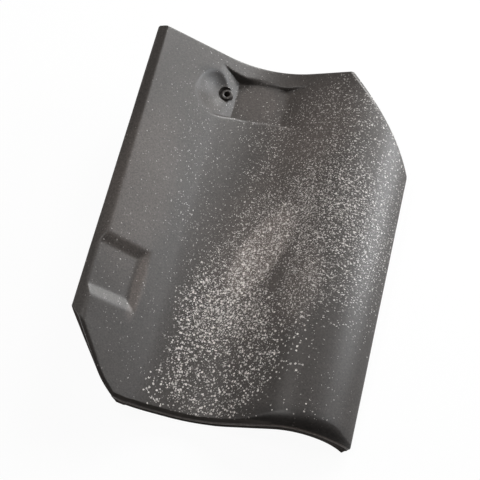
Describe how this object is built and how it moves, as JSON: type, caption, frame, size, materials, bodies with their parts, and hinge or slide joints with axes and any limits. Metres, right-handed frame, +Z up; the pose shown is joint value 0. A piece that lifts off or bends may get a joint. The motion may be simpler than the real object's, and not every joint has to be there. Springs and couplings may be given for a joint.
{
  "type": "clay roof tile",
  "caption": "S-profile fired clay roof tile with a hollow pan, a raised roll, cut corners, a nail hole and a hanging nib.",
  "frame": {"origin": "middle of the tile's box, on the floor that it lies on", "axes": "+X from the left lip to the roll, +Y from the tail to the head, +Z up"},
  "size_m": [0.2488, 0.3556, 0.0719],
  "materials": {
    "fired_clay": "matt anthracite engobe with pale lime flecks"
  },
  "bodies": {
    "root": {"roof_tile": "fired_clay"}
  },
  "joints": []
}
